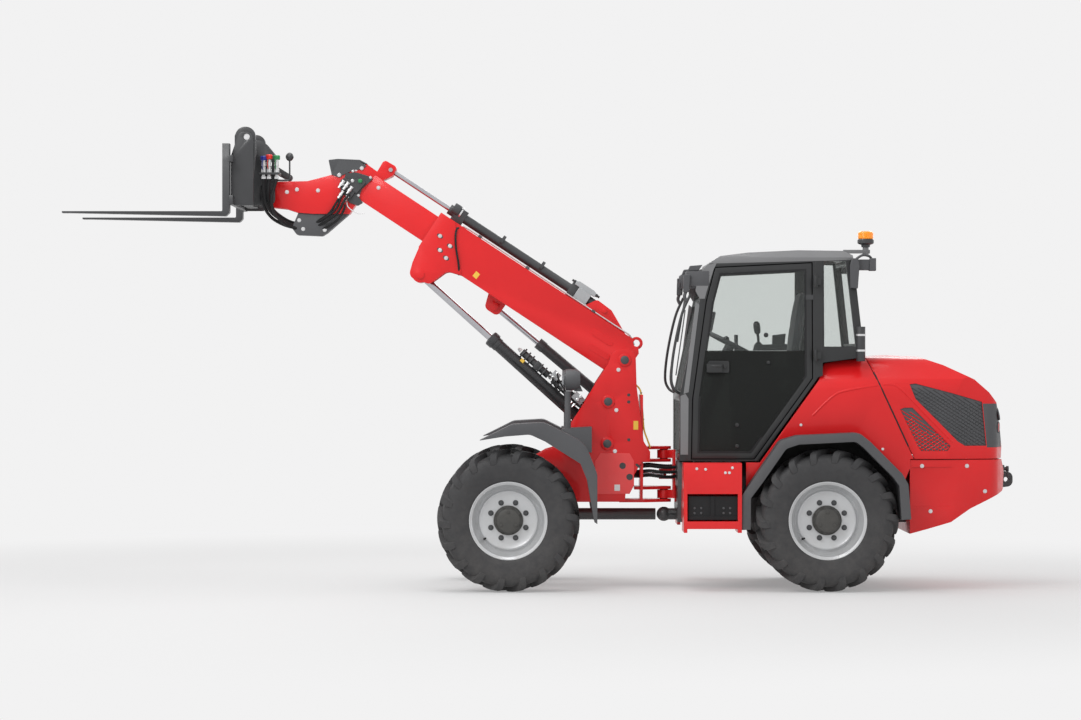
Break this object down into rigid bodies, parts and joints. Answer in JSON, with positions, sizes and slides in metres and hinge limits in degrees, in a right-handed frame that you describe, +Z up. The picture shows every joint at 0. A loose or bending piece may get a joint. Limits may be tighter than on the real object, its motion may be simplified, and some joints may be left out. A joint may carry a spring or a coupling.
{
  "type": "telescopic wheel loader",
  "caption": "Articulated telescopic wheel loader with an enclosed cab, a raised extending boom and pallet forks on a quick hitch.",
  "frame": {"origin": "on the ground under the middle of the machine's bounding box", "axes": "+X forward, towards the forks; +Y to the driver's left; +Z up"},
  "size_m": [6.805, 1.76, 3.2905],
  "materials": {
    "red_paint": "gloss bright red",
    "dark_red_paint": "satin dark red",
    "black_steel": "satin black paint",
    "bright_steel": "zinc-plated steel",
    "chrome_rod": "hard chrome",
    "grey_steel": "mid grey paint",
    "silver_rim": "silver paint",
    "tyre_rubber": "matt black rubber",
    "dark_plastic": "anthracite plastic",
    "cab_paint": "anthracite paint",
    "window_glass": "tinted clear",
    "seat_fabric": "black seat cover",
    "amber_lens": "amber, part clear"
  },
  "bodies": {
    "rear_frame": {"rear_chassis": "red_paint", "rear_axle": "black_steel", "cab_frame": "cab_paint", "cab_roof": "cab_paint", "cab_glass": "window_glass", "console": "dark_plastic", "seat_cushion": "seat_fabric", "seat_back": "seat_fabric", "steering_column": "dark_plastic", "beacon": "amber_lens", "work_lights": "dark_plastic", "rear_body": "red_paint", "counterweight": "red_paint", "tow_hitch": "black_steel", "rear_wheel_arches": "dark_plastic", "engine_block": "black_steel", "side_steps": "dark_red_paint", "intake_stack": "dark_plastic"},
    "knuckle": {"articulation_knuckle": "red_paint"},
    "front_frame": {"front_frame": "red_paint", "front_axle": "black_steel", "frame_pins": "bright_steel", "front_fenders": "dark_plastic", "head_lamps": "dark_plastic", "steering_barrel": "black_steel"},
    "steering_rod": {"steering_rod": "chrome_rod"},
    "wheel_front_left": {"tyre_front_left": "tyre_rubber", "rim_front_left": "silver_rim"},
    "wheel_front_right": {"tyre_front_right": "tyre_rubber", "rim_front_right": "silver_rim"},
    "wheel_rear_left": {"tyre_rear_left": "tyre_rubber", "rim_rear_left": "silver_rim"},
    "wheel_rear_right": {"tyre_rear_right": "tyre_rubber", "rim_rear_right": "silver_rim"},
    "cab_door": {"cab_door": "cab_paint", "door_glass": "window_glass"},
    "bonnet": {"bonnet": "red_paint", "bonnet_grilles": "dark_plastic", "rear_lamp_corners": "dark_plastic"},
    "boom": {"outer_boom": "red_paint", "wear_pads": "dark_plastic", "telescoping_barrel": "black_steel"},
    "inner_boom": {"inner_boom": "red_paint", "gooseneck": "red_paint", "guard_plate": "grey_steel", "hose_guide": "dark_plastic", "telescoping_rod": "chrome_rod"},
    "hitch": {"quick_hitch": "black_steel", "hitch_pins": "bright_steel", "fork_carriage": "black_steel", "pallet_forks": "black_steel"},
    "tilt_link": {"tilt_link": "black_steel"},
    "lift_barrel": {"lift_cylinder_barrel": "black_steel", "lift_accumulators": "black_steel"},
    "lift_rod": {"lift_cylinder_rod": "chrome_rod"},
    "levelling_barrel": {"levelling_cylinder_barrel": "black_steel"},
    "levelling_rod": {"levelling_cylinder_rod": "chrome_rod"}
  },
  "joints": [
    {"name": "frame_swing", "type": "hinge", "parent": "rear_frame", "child": "knuckle", "pos_m": [-0.982, 0, 0.66], "axis": [1, 0, 0], "range_deg": [-10, 10]},
    {"name": "steering", "type": "hinge", "parent": "knuckle", "child": "front_frame", "pos_m": [-0.894, 0, 0.8], "axis": [0, 0, 1], "range_deg": [-40, 40]},
    {"name": "wheel_front_left_spin", "type": "hinge", "parent": "front_frame", "child": "wheel_front_left", "pos_m": [0.226, 0.7, 0.502], "axis": [0, 1, 0], "continuous": true},
    {"name": "wheel_front_right_spin", "type": "hinge", "parent": "front_frame", "child": "wheel_front_right", "pos_m": [0.226, -0.7, 0.502], "axis": [0, 1, 0], "continuous": true},
    {"name": "wheel_rear_left_spin", "type": "hinge", "parent": "rear_frame", "child": "wheel_rear_left", "pos_m": [-2.014, 0.7, 0.502], "axis": [0, 1, 0], "continuous": true},
    {"name": "wheel_rear_right_spin", "type": "hinge", "parent": "rear_frame", "child": "wheel_rear_right", "pos_m": [-2.014, -0.7, 0.502], "axis": [0, 1, 0], "continuous": true},
    {"name": "door_swing", "type": "hinge", "parent": "rear_frame", "child": "cab_door", "pos_m": [-1.94417, 0.632, 1.6], "axis": [0, 0, 1], "range_deg": [0, 100]},
    {"name": "bonnet_lift", "type": "hinge", "parent": "rear_frame", "child": "bonnet", "pos_m": [-2.312, 0, 1.6604], "axis": [0, 1, 0], "range_deg": [0, 55]},
    {"name": "boom_lift", "type": "hinge", "parent": "front_frame", "child": "boom", "pos_m": [-0.605, 0, 1.63], "axis": [0, -1, 0], "range_deg": [-60.5, 22]},
    {"name": "boom_telescope", "type": "slide", "parent": "boom", "child": "inner_boom", "axis": [0.8348, 0, 0.5505], "range_m": [-0.45, 0.4]},
    {"name": "hitch_tilt", "type": "hinge", "parent": "inner_boom", "child": "hitch", "pos_m": [1.97674, 0, 2.8065], "axis": [0, 1, 0], "range_deg": [-78, 64]},
    {"name": "tilt_link_turn", "type": "hinge", "parent": "hitch", "child": "tilt_link", "pos_m": [1.97474, 0, 3.0515], "axis": [0, 1, 0], "range_deg": [-64, 78]},
    {"name": "lift_barrel_turn", "type": "hinge", "parent": "front_frame", "child": "lift_barrel", "pos_m": [-0.48, 0, 1.029], "axis": [0, -1, 0], "range_deg": [-59, 23]},
    {"name": "lift_stroke", "type": "slide", "parent": "lift_barrel", "child": "lift_rod", "axis": [0.7425, 0, 0.6699], "range_m": [-0.6, 0.22]},
    {"name": "levelling_barrel_turn", "type": "hinge", "parent": "front_frame", "child": "levelling_barrel", "pos_m": [-0.486, -0.162, 1.331], "axis": [0, -1, 0], "range_deg": [-61, 23]},
    {"name": "levelling_stroke", "type": "slide", "parent": "levelling_barrel", "child": "levelling_rod", "axis": [0.7655, 0, 0.6434], "range_m": [-0.32, 0.12]},
    {"name": "steering_stroke", "type": "slide", "parent": "front_frame", "child": "steering_rod", "axis": [-1, 0, 0], "range_m": [-0.11, 0.11]}
  ],
  "couplings": [
    {"joint": "tilt_link_turn", "follows": "hitch_tilt", "ratio": -1},
    {"joint": "lift_barrel_turn", "follows": "boom_lift", "ratio": 0.965},
    {"joint": "lift_stroke", "follows": "boom_lift", "m_per_rad": 0.56},
    {"joint": "levelling_barrel_turn", "follows": "boom_lift", "ratio": 1},
    {"joint": "levelling_stroke", "follows": "boom_lift", "m_per_rad": 0.295},
    {"joint": "steering_stroke", "follows": "steering", "m_per_rad": 0.143}
  ]
}
